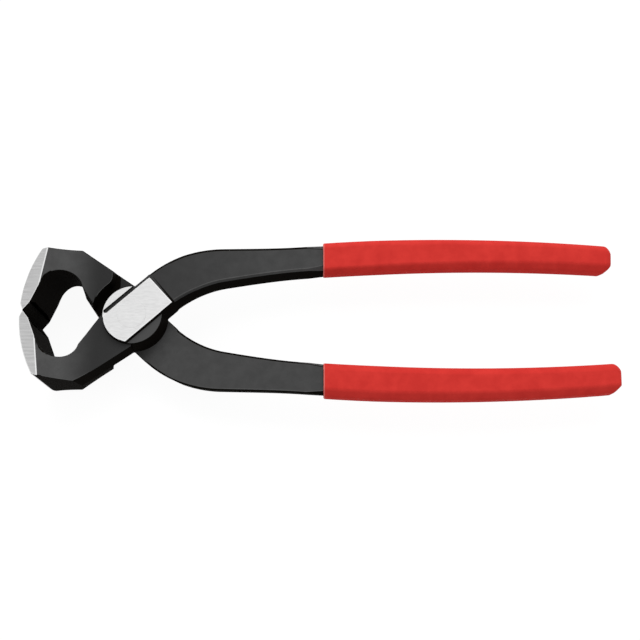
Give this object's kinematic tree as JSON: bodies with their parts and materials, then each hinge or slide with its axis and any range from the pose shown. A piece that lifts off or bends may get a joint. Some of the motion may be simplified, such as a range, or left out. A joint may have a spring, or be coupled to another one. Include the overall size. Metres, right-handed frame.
{
  "type": "end cutting nippers",
  "caption": "Hand-operated end cutting nippers: two forged halves on a flush lap-joint rivet, broad jaws with a cutting edge across the end, long dip-coated handles.",
  "frame": {"origin": "on the pivot axis, at the lower ground joint face", "axes": "+X along the tool from the pivot to the handle ends, +Y across the handles towards the handle of the top half, +Z along the pivot axis towards the top half's ground joint face"},
  "size_m": [0.2257, 0.0642, 0.027],
  "materials": {
    "forged_steel": "drop-forged tool steel, black phosphated, satin, with ground bright faces at the cutting end and the joint",
    "ground_steel": "ground flush and bright",
    "grip_plastic": "dip-coated soft PVC, red, satin"
  },
  "bodies": {
    "bottom_half": {"bottom_arm": "forged_steel", "bottom_grip": "grip_plastic", "pivot_rivet": "ground_steel"},
    "top_half": {"top_arm": "forged_steel", "top_grip": "grip_plastic"}
  },
  "joints": [
    {"name": "jaw_pivot", "type": "hinge", "parent": "bottom_half", "child": "top_half", "pos_m": [0, 0, 0.0082], "axis": [0, 0, 1], "range_deg": [0, 36]}
  ]
}
